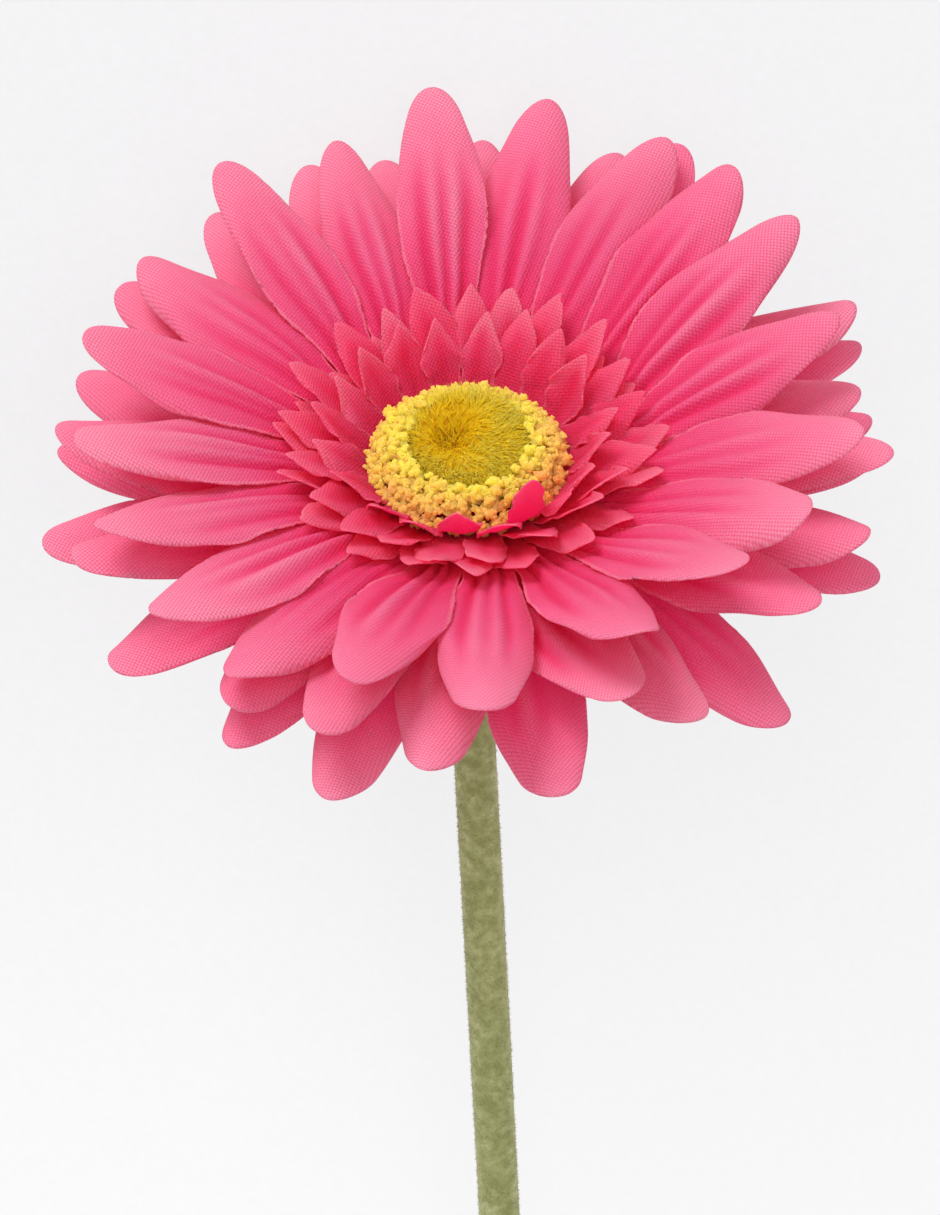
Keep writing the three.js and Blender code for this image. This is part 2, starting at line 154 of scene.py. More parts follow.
def make_piece(name, points, faces, material, uv=None, values=None, smooth=True):
    """A mesh object at the origin from points in metres and faces with equal numbers of corners.
    uv maps a name to a pair for each point, and values maps a name to a number for each point."""
    corners = faces.shape[1]
    mesh = bpy.data.meshes.new(name)
    mesh.vertices.add(len(points))
    mesh.vertices.foreach_set("co", np.ascontiguousarray(points, np.float32).ravel())
    mesh.loops.add(faces.size)
    mesh.loops.foreach_set("vertex_index", faces.ravel().astype(np.int32))
    mesh.polygons.add(len(faces))
    mesh.polygons.foreach_set("loop_start", np.arange(0, faces.size, corners, dtype=np.int32))
    mesh.polygons.foreach_set("use_smooth", np.full(len(faces), smooth))
    for label, pairs in (uv or {}).items():
        layer = mesh.uv_layers.new(name=label)
        layer.data.foreach_set("uv", pairs[faces.ravel()].astype(np.float32).ravel())
    for label, numbers in (values or {}).items():
        attribute = mesh.attributes.new(label, "FLOAT", "POINT")
        attribute.data.foreach_set("value", numbers.astype(np.float32))
    mesh.update(calc_edges=True)
    mesh.materials.append(material)
    piece = bpy.data.objects.new(name, mesh)
    bpy.context.scene.collection.objects.link(piece)
    return piece


def put_on(piece, node):
    """The piece moves with the part and stands in for its CAD node, which is hidden."""
    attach(piece, "root")
    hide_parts(node)
    print(piece.name, "points", len(piece.data.vertices), "faces", len(piece.data.polygons))


# %% [markdown]
# ## Building a finish from nodes
#
# A finish is a small network of nodes. One function adds a node, gives it its settings, and fills its
# sockets with a number, a colour or another node's output. The steps that finishes share, such as noise
# or a colour ramp, are short functions of their own. Colours are written as they look on a screen,
# in hex, and one function turns them to the linear values that light works in.

# %% Colours and nodes
def linear(hex_code):
    """Linear RGBA of an sRGB hex colour: x / 12.92 near black, else ((x + 0.055) / 1.055) ^ 2.4."""
    x = np.array([int(hex_code[i:i + 2], 16) for i in (1, 3, 5)]) / 255
    return (*np.where(x <= 0.04045, x / 12.92, ((x + 0.055) / 1.055) ** 2.4).tolist(), 1.0)


def add(tree, kind, inputs=None, **settings):
    """Adds a node of a kind, sets it up, and fills each input with a value or with another socket."""
    node = tree.nodes.new("ShaderNode" + kind)
    for key, value in settings.items():
        setattr(node, key, value)
    for key, value in (inputs or {}).items():
        socket = node.inputs[key]
        if isinstance(value, bpy.types.NodeSocket):
            tree.links.new(value, socket)
        else:
            socket.default_value = value
    return node


def maths(tree, operation, *numbers):
    """The result of one arithmetic operation on numbers or sockets."""
    return add(tree, "Math", dict(enumerate(numbers)), operation=operation).outputs[0]


def attribute(tree, name):
    """A number that the mesh holds for each point."""
    return add(tree, "Attribute", attribute_name=name).outputs["Fac"]


def noise(tree, scale, detail, place=None, **more):
    """Noise from 0 to 1 with scale cells to the metre, at the object's own place unless another is given."""
    if place is None:
        place = add(tree, "TexCoord").outputs["Object"]
    return add(tree, "TexNoise", {"Vector": place, "Scale": scale, "Detail": detail, **more}).outputs["Fac"]


def ramp(tree, number, stops):
    """The colour that a number has on a ramp, whose stops are (position, hex colour)."""
    node = add(tree, "ValToRGB", {"Fac": number})
    elements = node.color_ramp.elements
    while len(elements) < len(stops):
        elements.new(0.5)
    for element, (position, colour) in zip(elements, stops):
        element.position = position
        element.color = linear(colour)
    return node.outputs["Color"]


def between(tree, number, low, high, from_low=0.0, from_high=1.0):
    """A number carried over from one span to another, and held within it."""
    return add(tree, "MapRange", {"Value": number, "From Min": from_low, "From Max": from_high,
                                  "To Min": low, "To Max": high}).outputs["Result"]


def bump(tree, strength, distance, height):
    """A surface direction tilted as if the height, times a distance in metres, stood on the surface."""
    return add(tree, "Bump", {"Strength": strength, "Distance": distance, "Height": height}).outputs["Normal"]


def lit_through(tree, surface, share, inputs):
    """A surface shader of which a share is light that comes through from behind."""
    behind = add(tree, "BsdfTranslucent", inputs)
    return add(tree, "MixShader", {0: share, 1: surface.outputs[0], 2: behind.outputs[0]})


def finish(name, build, *choices):
    """A new material, whose surface is the shader that build makes in its empty node tree."""
    material = bpy.data.materials.new(name)
    material.use_nodes = True
    tree = material.node_tree
    tree.nodes.clear()
    add(tree, "OutputMaterial", {"Surface": build(tree, *choices).outputs[0]})
    return material


print("linear pink:", np.round(linear("#ee6f92"), 3))

# %% [markdown]
# ## The petal cloth
#
# The real petals are polyester taffeta: a plain weave, where every thread goes over one and under the
# next. It is dyed by spraying, deeper at the middle of the flower than at the tips, and it is cut with a
# die, which leaves a pale, slightly frayed edge. A scan of the cloth would not scale or turn with the
# part, so the weave is drawn by arithmetic on a flat map of the cut sheet in millimetres.
#
# Real taffeta has about 40 threads to the centimetre, which is too fine to see here. It is drawn at
# 0.42 mm a thread, as coarse as the stiffened cloth of such flowers looks.

# %% Woven taffeta
THREAD = 0.42  # mm from thread to thread
THREAD_TURN = math.radians(24)  # how the grain lay when the discs were cut
THREAD_GAP_SHADE, THREAD_CREST_HIGHLIGHT = (0.9, 0.48, 0.58), (1.02, 1.3, 1.24)  # the dye's factors: painted shade between threads and a painted highlight on their backs
EDGE_THREADS = "#ffb6ca"


def weave(tree):
    """Height of the threads on the flat pattern: |sin| of each direction is a thread's round back, and the
    sign of the product says which of the two lies on top in that cell."""
    cut = add(tree, "UVMap", uv_map="cut").outputs["UV"]
    turned = add(tree, "Mapping", {"Vector": cut, "Rotation": (0, 0, THREAD_TURN),
                                   "Scale": (math.pi / THREAD,) * 3}).outputs["Vector"]
    cells = add(tree, "SeparateXYZ", {0: turned})
    warp, weft = [maths(tree, "SINE", cells.outputs[axis]) for axis in "XY"]
    on_top = maths(tree, "GREATER_THAN", maths(tree, "MULTIPLY", warp, weft), 0.0)
    warp_back, weft_back = maths(tree, "ABSOLUTE", warp), maths(tree, "ABSOLUTE", weft)
    heights = [maths(tree, "MULTIPLY", back, maths(tree, "MULTIPLY_ADD", other, 0.4, 0.6))
               for back, other in ((weft_back, warp_back), (warp_back, weft_back))]
    return add(tree, "Mix", {"Factor": on_top, 2: heights[0], 3: heights[1]}).outputs[0]


def woven_taffeta(tree, stops, glow, passed):
    """Plain-woven dyed cloth. stops are the dye's colours from the disc's middle to the petal tips, glow is
    the colour of light that comes through, and passed is that light's share."""
    petal = add(tree, "SeparateXYZ", {0: add(tree, "UVMap", uv_map="petal").outputs["UV"]})
    to_edge, along = petal.outputs["X"], petal.outputs["Y"]
    threads = weave(tree)

    # Dye: a gradient along the petal, cloudy at 6 mm; painted shade deepens it in the pressed channels and a
    # painted highlight pales the ridges.
    shift = maths(tree, "MULTIPLY_ADD", noise(tree, 160.0, 3.0), 0.22, -0.11)
    toned = maths(tree, "MULTIPLY_ADD", attribute(tree, "tone"), 0.1, shift)
    channel_shade_ridge_highlight = maths(tree, "MULTIPLY_ADD", attribute(tree, "groove"), -0.45, toned)
    spread = between(tree, maths(tree, "ADD", along, channel_shade_ridge_highlight), 0.0, 1.0, -0.3, 1.1)
    # Painted light on the weave: the dye is darkened between the threads as shade and paled on their backs as
    # a highlight.
    shade = add(tree, "Mix", {"Factor": threads, 4: THREAD_GAP_SHADE, 5: THREAD_CREST_HIGHLIGHT}, data_type="VECTOR").outputs[1]
    woven = add(tree, "VectorMath", {0: ramp(tree, spread, stops), 1: shade},
                operation="MULTIPLY").outputs["Vector"]

    # The cut edge: the threads' undyed hearts show in the last quarter of a millimetre.
    ragged = maths(tree, "MULTIPLY_ADD", noise(tree, 2500.0, 1.0), -0.35, to_edge)
    rim = between(tree, ragged, 0.0, 0.35, 0.07, -0.02)
    colour = add(tree, "Mix", {"Factor": rim, 6: woven, 7: linear(EDGE_THREADS)}, data_type="RGBA").outputs[2]

    relief = bump(tree, 0.9, 0.00009, threads)
    cloth = add(tree, "BsdfPrincipled", {"Base Color": colour, "Roughness": 0.6, "Normal": relief,
                                         "Specular IOR Level": 0.35, "Sheen Weight": 0.15,
                                         "Sheen Roughness": 0.45, "Sheen Tint": linear("#ffd0dc")})
    return lit_through(tree, cloth, passed, {"Color": linear(glow), "Normal": relief})


RAY_DYE = [(0.0, "#f0226c"), (0.3, "#f24484"), (0.55, "#f46ca0"), (0.8, "#f692b8"), (1.0, "#f8b0cc")]
FLORET_DYE = [(0.0, "#f83c72"), (0.3, "#fb4680"), (0.6, "#fd629a"), (0.85, "#fe90ba"), (1.0, "#ffb8d4")]
ray_cloth = finish("woven_taffeta_rays", woven_taffeta, RAY_DYE, "#fd6ca2", 0.55)
floret_cloth = finish("woven_taffeta_florets", woven_taffeta, FLORET_DYE, "#ff509c", 0.72)
print("threads to the centimetre as drawn:", round(10 / THREAD, 1))

# %% [markdown]
# ## The die-cut discs
#
# Each disc is one sheet: a flat middle, cut by twenty slits into petals, pressed hot between two shaped
# plates. The press bends the sheet up between 9 and 16 mm from the axis, lets the free petals droop
# again, and leaves channels down each petal. Threading and handling turn and lift each petal a little, so
# every petal has a sway and a lift of its own, as it has in the frame.
#
# The surface is a function of two parameters. Across, b runs from -1 to 1 over a petal. Along, a runs
# from the slit (0) to the tip (1), and below 0 on the uncut middle. Sculpting would do it too, but then
# sixty petals would be sixty jobs.

# %% What the discs share
PETALS = 20
SECTOR = 2 * math.pi / PETALS
HOLE_RADIUS = 2.7  # mm
RISE_FROM, RISE_TO = 9.0, 16.0  # mm along the sheet where the press bends it up
STEP = 0.1  # mm, pace at which a centre line is added up


def centre_line(disc, length, lift, distance):
    """Radius, height and slope at distances along the sheet from the axis.
    The slope is slope * ease(9, 16) - droop * free + lift * min(1, 3 free), where free runs from 0 at the
    slit to 1 at the tip. Radius and height are the running sums of its cosine and sine."""
    knots = np.arange(0, 62, STEP)
    scale = length - disc["slit"]

    def slope_at(s):
        free = np.maximum(0, s - disc["slit"]) / scale
        rise = disc["slope"] * ease(RISE_FROM, RISE_TO, s)
        return np.radians(rise - disc["droop"] * free + lift * np.minimum(1, 3 * free))

    middle = slope_at(knots[:-1] + STEP / 2)
    radius = np.concatenate([[0], np.cumsum(np.cos(middle)) * STEP])
    height = np.concatenate([[0], np.cumsum(np.sin(middle)) * STEP]) + disc["level"]
    return np.interp(distance, knots, radius), np.interp(distance, knots, height), slope_at(distance)


def columns_across(disc):
    """Places across a petal from -1 to 1, closer together at its edges: the sine of even steps."""
    return np.sin(np.linspace(-np.pi / 2, np.pi / 2, disc["columns"] + 1))[None, :]


def sheet_normal(slope, outward):
    """Unit vector off the sheet: minus sin(slope) outwards and cos(slope) up."""
    normal = -np.sin(slope)[..., None] * outward
    normal[..., 2] = np.cos(slope)
    return normal


def cut_lengths(disc):
    """Each petal's cut length: 0.98 to 1.01 of the disc's, from the frame's own number sequence."""
    state, lengths = disc["seed"], []
    for _ in range(PETALS):
        state = (state * 1664525 + 1013904223) % 2**32
        lengths.append(disc["length"] * (0.98 + 0.03 * state / 2**32))
    return np.array(lengths) + disc["trim"]


# %% The outline and relief of one petal


def half_width(disc, a):
    """Half width in mm: from the slit's to the full width as sin^2 up to `widest`, then closing as a
    square law to tip_width of it, where the rounded end takes over."""
    root = disc["slit"] * math.tan(SECTOR / 2)
    swell = root + (disc["half_width"] - root) * np.sin(np.pi / 2 * np.clip(a / disc["widest"], 0, 1)) ** 2
    closing = np.clip((a - disc["widest"]) / (1 - disc["widest"]), 0, 1)
    return swell * (1 - (1 - disc["tip_width"]) * closing**2)


def end_arc(b, lean, share, power):
    """How far the tip's outline falls back at b: share (1 - (1 - |b'|^power)^(1/power)), a superellipse,
    where b' = b - lean (1 - b^2) puts its highest point to one side."""
    shifted = np.abs(b - lean * (1 - b**2))
    return share * (1 - (1 - np.clip(shifted, 0, 1) ** power) ** (1 / power))


def pressed_channels(disc, a, b, marks):
    """Depth from 0 to 1 of the channels: bells across the petal at the marks, fading towards the tip."""
    fade = ease(-0.32, 0.05, a) * (1 - ease(disc["channel_end"] - 0.28, disc["channel_end"] + 0.08, a))
    bells = [weight * np.exp(-((b - mark) / disc["channel_width"]) ** 2) for mark, weight in marks]
    return sum(bells) * fade


# %% One petal as a grid


def petal_grid(disc, petal, length, draw):
    """Rows from the slit to the tip and columns across, as points, flat pattern, edge distance and groove.
    A point is foot + outward (R - R_root) + sideways b width + normal relief, with its height from the
    centre line. Over the first fifth it fades out of the uncut ring, where it turns by b times 9 degrees."""
    rows, columns = disc["rows"], disc["columns"]
    a = np.linspace(0, 1, rows + 1)[:, None]
    b = columns_across(disc)
    lift = disc["lift"][petal]
    over, under = disc["over"], disc["under"]
    before = over if lift >= disc["lift"][petal - 1] else under
    after = over if lift > disc["lift"][(petal + 1) % PETALS] else under

    # Where the cloth runs.
    slit = disc["slit"]
    one_side = draw.uniform(-1, 1)
    arc = end_arc(b, disc["lean"] * one_side, disc["tip_arc"] * draw.uniform(0.8, 1.2),
                  disc["tip_power"] * (1 - 0.1 * one_side))
    nick = disc["nick"] * max(0, draw.uniform(-1.4, 1)) * np.exp(-((b - draw.uniform(-0.3, 0.3)) / 0.16) ** 2)
    distance = slit + a * (length - slit - arc - nick)
    radius, height, slope = centre_line(disc, length, lift, distance)
    (root_radius, end_radius), _, _ = centre_line(disc, length, lift, np.array([slit, length]))
    root = math.radians(disc["first"]) - petal * SECTOR
    swing = math.radians(disc["sway"][petal]) * end_radius / (end_radius - root_radius)
    outward = unit(root + swing)
    sideways = unit(root + swing * ease(0, 0.3, a) - np.pi / 2)
    phase = draw.uniform(0, 2 * np.pi, 8)
    ripple = np.where(b < 0, np.sin(9 * a + phase[0]) + 0.6 * np.sin(21 * a + phase[1]),
                      np.sin(8 * a + phase[2]) + 0.6 * np.sin(19 * a + phase[3]))
    girth = 1 + (draw.uniform(0.94, 1.07) - 1 + disc["ripple"] * ripple) * ease(0, 0.3, a)
    width = half_width(disc, a) * girth
    frayed = np.zeros_like(width + distance)
    frayed[:, [0, -1]] = draw.uniform(-1, 1, (rows + 1, 2)) * disc["fray"]
    across = b * width + np.sign(b) * frayed * ease(0, 0.1, a)

    # How the press and the hand shaped it.
    marks = [(m + draw.normal(0, 0.08), draw.uniform(0.3, 1.1)) for m in disc["marks"]]
    marks += [(m + draw.normal(0, 0.07), -draw.uniform(0.2, 0.85)) for m in disc["ridges"]]
    groove = pressed_channels(disc, a, b, marks)
    share = 2 * a * (1 - 0.6 * a)
    tuck = np.where(b < 0, before, after) * b**2 * share
    crown = disc["crown"] * b**2 * ease(0.3, 1, a)
    wave = np.sin(5 * a + phase[4]) * 0.5 + b * np.sin(7 * a + phase[5])
    flute = np.abs(b) ** 3 * np.sin(17 * a + phase[6]) * 0.6
    twist = np.tan(math.radians(disc["twist"]) * draw.uniform(-1, 1) * a) * across
    relief = disc["wave"] * (wave + flute) * ease(0, 0.6, a) + twist
    relief = relief + disc["curl"] * draw.uniform(-1, 1) * ease(0.35, 1, a)
    relief = relief - tuck - crown - disc["channel"] * groove
    normal = sheet_normal(slope, outward)
    free_points = (root_radius * unit(root) + (radius - root_radius)[..., None] * outward
                   + across[..., None] * sideways + relief[..., None] * normal)
    free_points[..., 2] += height

    # The same rows as if they had not been cut, for the way out of the ring.
    spread = root - b * (SECTOR / 2) * slit / distance
    ring_points = radius[..., None] * unit(spread) - (disc["channel"] * groove)[..., None] * normal
    ring_points[..., 2] += height
    freed = ease(0, 0.2, a)
    points = ring_points + (free_points - ring_points) * freed[..., None]

    ring_flat = distance[..., None] * unit(spread)
    free_flat = distance[..., None] * unit(root) + across[..., None] * unit(root - np.pi / 2)
    flat = (ring_flat + (free_flat - ring_flat) * freed[..., None])[..., :2]
    to_side = width * (1 - np.abs(b))
    to_end = length - arc - nick - distance
    edge = np.stack([np.minimum(to_side, to_end), a + 0 * b], axis=-1)
    return points, flat, edge, groove


# %% One whole disc
FLAT_RINGS = 5.5, 8.0  # mm, radii of two rings in the flat middle
HUB_CHANNEL, HUB_RIDGE = 0.85, -0.6  # how deep the channels start in the uncut ring


def die_cut_disc(name, disc, material):
    """The uncut middle as rings, then twenty petal grids that grow from its last ring."""
    draw = np.random.default_rng(disc["seed"])
    rows, columns, slit = disc["rows"], disc["columns"], disc["slit"]
    around = PETALS * columns
    b = np.tile(columns_across(disc)[:, :-1], PETALS)
    azimuth = math.radians(disc["first"]) - np.repeat(np.arange(PETALS), columns) * SECTOR - b * SECTOR / 2
    rings = np.concatenate([[HOLE_RADIUS, FLAT_RINGS[0]],
                            np.linspace(FLAT_RINGS[1], slit, disc["hub_rings"])])[:, None]
    radius, height, slope = centre_line(disc, disc["length"], 0, rings)
    a = (rings - slit) / (disc["length"] - slit)
    groove = pressed_channels(disc, a, b, [(m, HUB_CHANNEL) for m in disc["marks"]]
                              + [(m, HUB_RIDGE) for m in disc["ridges"]])
    outward = unit(azimuth)
    ring = radius[..., None] * outward - (disc["channel"] * groove)[..., None] * sheet_normal(slope, outward)
    ring[..., 2] += height
    flat = (rings[..., None] * outward)[..., :2]
    edge = np.stack([slit - rings + 3 * (1 - np.abs(b)), a + 0 * b], axis=-1)
    stacks = [[part.reshape(groove.size, *part.shape[2:])]
              for part in (ring, flat, edge, groove, np.zeros_like(groove))]
    hub_index = numbered(ring)
    faces = [grid_quads(hub_index, wrap=True)]

    count = groove.size
    for petal, length in enumerate(cut_lengths(disc)):
        grid, flat, edge, groove = petal_grid(disc, petal, length, draw)
        tone = np.full(groove.shape, draw.normal(0, 0.6)) * ease(0, 0.4, edge[..., 1])
        index = np.empty((rows + 1, columns + 1), int)
        index[0] = hub_index[-1, (petal * columns + np.arange(columns + 1)) % around]
        index[1:] = numbered(grid[1:], count)
        count += rows * (columns + 1)
        faces.append(grid_quads(index))
        for stack, part in zip(stacks, (grid, flat, edge, groove, tone)):
            stack.append(part[1:].reshape(rows * (columns + 1), *part.shape[2:]))
    points, flats, edges, grooves, tones = [np.concatenate(stack) for stack in stacks]
    # The groove attribute carries channel depth to the cloth, which paints shade in the channels and a
    # highlight on the ridges.
    piece = make_piece(name, in_row_frame(points), np.concatenate(faces), material,
                       uv={"cut": flats, "petal": edges}, values={"tone": tones, "groove": grooves})
    solid = piece.modifiers.new("cloth thickness", "SOLIDIFY")
    solid.thickness = disc["cloth"] * MM
    solid.offset = 0
    return piece

# %% [markdown]
# ## The six discs
#
# The numbers below are the tool settings of the press and the hand of whoever threaded the flower. The
# large discs have blunt, round-ended petals with three channels. The small ones have short petals with a
# pointed end and one shallow channel, and they stand steeper towards the middle. Three petals of the
# inner small disc, numbers 9, 10 and 12, stand up further than in the frame, as the photo has them.

# %% Forms of the two cutting dies
RAY = dict(
    slit=22.0, length=55.5, half_width=6.0, widest=0.6, tip_width=0.68, tip_arc=8.6, tip_power=2.0, lean=0.22,
    nick=0.0, over=0.2, under=1.7, crown=1.1, marks=(-0.48, 0.0, 0.46), ridges=(-0.24, 0.23), channel=0.66,
    channel_width=0.14, channel_end=0.74, wave=0.34, ripple=0.024, fray=0.11, twist=3.0, curl=0.5,
    rows=52, columns=30, hub_rings=9, cloth=0.22)
FLORET = dict(
    slit=13.0, half_width=2.75, widest=0.6, tip_width=0.67, tip_arc=3.8, tip_power=1.25, lean=0.3,
    nick=0.7, over=-0.3, under=0.4, crown=0.4, marks=(-0.05,), ridges=(), channel=0.25,
    channel_width=0.3, channel_end=0.8, wave=0.26, ripple=0.055, fray=0.04, twist=16.0, curl=0.9,
    rows=26, columns=16, hub_rings=7, cloth=0.2)
print("free petal, mm:", RAY["length"] - RAY["slit"], "by", 2 * RAY["half_width"])

# %% Settings of each disc, clockwise from the first petal's azimuth
DISCS = {
    "ray_disc_lower": dict(
        RAY, level=-2, slope=8, droop=10, first=105.5, seed=101,
        sway=[0, 0, -3, -3, -11, -4, 5, 2, -7, 0, -4, -3, 3, 6, 2, -1, 0, -6, -3, -2],
        lift=[0, 0, 1, 0, -1, -5, 0, -2, -6, 4, 1, 5, -3, -2, -1, 2, 1, -2, -3, 1],
        trim=[0, 0, 0, 0, 2, 0, -3, 1, 1, -5, 0, -7, 1, 0, 1, 1, -1, -1, -1, 0]),
    "ray_disc_middle": dict(
        RAY, level=-1, slope=18, droop=12, first=105, seed=102,
        sway=[-3, 1, -1, 8, -8, -6, -1, 2, 4, -2, 8, -2, 1, 5, -10, -13, -11, -11, -12, -9],
        lift=[-8, -5, 0, 8, -5, -3, 0, -3, 4, -4, 8, -3, 2, -3, -1, 4, -7, -7, -7, -2],
        trim=[0, 1, 0, 3, 3, -3, 1, 0, 0, 0, -1, 0, 0, -2, 1, 1, -1, 0, 0, 1]),
    "ray_disc_upper": dict(
        RAY, level=0, slope=30, droop=14, first=97, seed=103,
        sway=[-2, 0, -1, 4, 10, 8, 2, 0, 1, 0, -5, -6, -4, 1, 1, 3, 2, -4, -4, -5],
        lift=[3, -4, -2, 0, 0, 0, 0, 7, 12, 9, -4, 0, -12, -7, -6, 0, 3, -14, -3, -12],
        trim=[2, 2, 1, 1, 2, -2, -1, -1, -1, -1, 0, 0, 0, 0, -1, -1, -1, -2, 1, -1]),
    "floret_disc_outer": dict(
        FLORET, level=1, slope=35, droop=3, first=109, seed=104, length=28.6, half_width=3.1,
        sway=[0, 2, 4, 1, 0, 2, -2, 0, -3, 0, -3, 1, 0, 1, -2, 1, -2, 1, 2, 0],
        lift=[0, 1, 0, 1, 0, 0, 1, 0, -1, 2, 0, 1, 0, -3, -3, -1, 0, 0, 0, 1],
        trim=[-5, -6, 0, -5, -4, -3, 0, 0, 0, 0, 0, 0, 0, 0, 0, 0, -1, -4, -5, -5]),
    "floret_disc_middle": dict(
        FLORET, level=2, slope=41, droop=7, first=118, seed=105, length=27.2, half_width=3.0,
        sway=[1, 5, 8, -3, -5, -1, 4, -3, 0, 3, -2, -5, -4, -1, 4, 6, 6, 6, 5, -1],
        lift=[1, 4, -1, 1, 0, -1, 0, 3, 6, 7, 6, 2, -1, 2, 3, 0, 0, 0, 1, 1],
        trim=[-1, 0, 0, 1, 1, 0, -1, 0, -1, 0, 0, 0, 0, 0, 0, 0, 0, 0, 1, 0]),
    "floret_disc_inner": dict(
        FLORET, level=3, slope=53, droop=11, first=121, seed=106, length=22.8,
        sway=[0, 1, -3, 0, 3, 4, -4, -7, -5, -4, -2, 3, 2, 1, 1, -3, -3, -1, -1, 0],
        lift=[0, 4, 3, 0, 4, 5, 1, 4, 6, 12, 28, 1, 20, 2, 3, 5, 0, 1, 3, 3],
        trim=[0, -1, 0, 1, 1, 0, 0, 0, 0, 0, 2, 1, 0, 0, 0, 0, 0, 1, 0, 0]),
}
print(len(DISCS), "discs,", len(DISCS) * PETALS, "petals")

# %% Cut and press them
for label, disc in DISCS.items():
    is_ray = label.startswith("ray")
    cloth_piece = die_cut_disc(label + "_cloth", disc, ray_cloth if is_ray else floret_cloth)
    put_on(cloth_piece, label)

# %% [markdown]
# ## The crumb ring
#
# The pollen is dyed sponge, milled to crumbs of about a millimetre and glued on in a ring. A crumb is a
# lumpy ball, so one small ball is worked out and every crumb is that ball pushed in and out by its own
# few waves. Milled foam breaks in facets, so the crumbs are shaded flat. The inner ones took a lemon dye,
# and the outer ones an orange tan.

# %% Dyed sponge
def dyed_sponge(tree):
    """Milled, dyed foam: dull, soft to light, with pores of a fifth of a millimetre."""
    pores = noise(tree, 3500.0, 2.0)
    mottled = maths(tree, "MULTIPLY_ADD", pores, 0.3, attribute(tree, "tone"))
    dye = ramp(tree, maths(tree, "ADD", mottled, -0.15),
               [(0.0, "#fff884"), (0.3, "#fff290"), (0.6, "#ffe896"), (1.0, "#ffd286")])
    foam = add(tree, "BsdfPrincipled", {"Base Color": dye, "Roughness": 0.7, "Specular IOR Level": 0.3,
                                        "Sheen Weight": 0.15, "Normal": bump(tree, 0.6, 0.0001, pores)})
    return lit_through(tree, foam, 0.72, {"Color": dye})


sponge = finish("dyed_sponge_crumbs", dyed_sponge)

# %% A ball of triangles
def ball(rings, sides):
    """Unit directions and triangles of a closed ball: one point at each pole and rings between them."""
    polar = np.linspace(0, np.pi, rings + 2)[1:-1, None]
    turn = full_turn(sides)[None, :]
    band = np.stack([np.sin(polar) * np.cos(turn), np.sin(polar) * np.sin(turn),
                     np.cos(polar) + 0 * turn], axis=-1)
    index = numbered(band, 1)
    quads = grid_quads(index, wrap=True)[:, [0, 3, 2, 1]]
    points = np.concatenate([[[0, 0, 1]], band.reshape(-1, 3), [[0, 0, -1]]])
    return points, np.concatenate([fan(index[0], 0, (2, 0, 1)), triangles(quads),
                                   fan(index[-1], len(points) - 1, (2, 1, 0))])


BALL_POINTS, BALL_FACES = ball(4, 8)
print("a crumb has", len(BALL_FACES), "faces")

# %% Many crumbs at once
WAVE_PACE, WAVE_STRENGTH = [3.52, 4.96, 6.88, 8.32], [0.24, 0.2, 0.17, 0.13]


def crumbs(name, places, sizes, tones, draw):
    """places (n, 3) in mm: each crumb is the ball with radius size (1 + sum of waves of its direction)."""
    count = len(places)
    axes = one_long(draw.normal(size=(count, 4, 3)))
    phase = draw.uniform(0, 2 * np.pi, (count, 4, 1))
    waves = np.sin(np.array(WAVE_PACE)[:, None] * (axes @ BALL_POINTS.T) + phase)
    push = (np.array(WAVE_STRENGTH)[:, None] * waves).sum(axis=1)
    stretch = draw.uniform(0.75, 1.25, (count, 1, 3))
    points = places[:, None, :] + sizes[:, None, None] * (1 + push)[..., None] * BALL_POINTS * stretch
    return make_piece(name, in_row_frame(points.reshape(-1, 3)), repeated(BALL_FACES, count), sponge,
                      values={"tone": np.repeat(tones, len(BALL_POINTS))}, smooth=False)

# %% The glued ring
TOP_LEVEL = 3.3  # mm, front face of the last disc
RING_BASE = TOP_LEVEL + 0.3
INNER_EDGE, OUTER_EDGE = 8.4, 13.4  # mm, the heap's radii
FIRST_ROW = 8.5  # mm
ROWS = {8.5: 62, 9.1: 66, 9.8: 70, 10.5: 74, 11.1: 78, 11.7: 80, 12.2: 80, 12.7: 80}  # crumbs at each radius
BED_RADII, BED_COUNT, BED_SIZE, BED_SHADE_TONE = [9.3, 10.8, 12.1], 44, 0.7, 0.85  # larger crumbs below
ORANGE_SIDE = math.radians(-25)
draw = np.random.default_rng(11)


def narrowed(radius, azimuth):
    """The ring is narrower at the back: the width outside the first row is scaled by 0.92 - 0.45 sin."""
    return FIRST_ROW + (radius - FIRST_ROW) * (0.92 - np.clip(np.sin(azimuth), -0.45, 1) * 0.45)


def mound(radius, azimuth):
    """Height in mm of the glued heap: it falls outwards from the button's rim, and 1.3 mm at the back."""
    share = np.clip((radius - INNER_EDGE) / (OUTER_EDGE - INNER_EDGE), 0, 1)
    return RING_BASE + 0.6 + 2.9 * (1 - share**1.5) - 1.3 * np.clip(np.sin(azimuth), 0, 1)


# The rows of crumbs that show.
radii = np.repeat(list(ROWS), list(ROWS.values()))
steps = np.concatenate([np.arange(n) / n for n in ROWS.values()])
azimuths = 2 * np.pi * steps + draw.normal(0, 0.04, len(radii))
radii = narrowed(radii, azimuths) + draw.normal(0, 0.2, len(radii))
places = unit(azimuths) * radii[:, None]
places[:, 2] = mound(radii, azimuths) + draw.normal(-0.1, 0.4, len(radii))
sizes = draw.uniform(0.4, 0.76, len(radii))
clump = 0.5 + 0.5 * np.sin(7 * azimuths + 2.0) * np.sin(3 * azimuths)
side = 0.5 + 0.5 * np.cos(azimuths - ORANGE_SIDE)
tones = (radii - 8.6) / 4.4 * (0.38 + 0.45 * side) + 0.12 * clump + draw.normal(0, 0.1, len(radii))

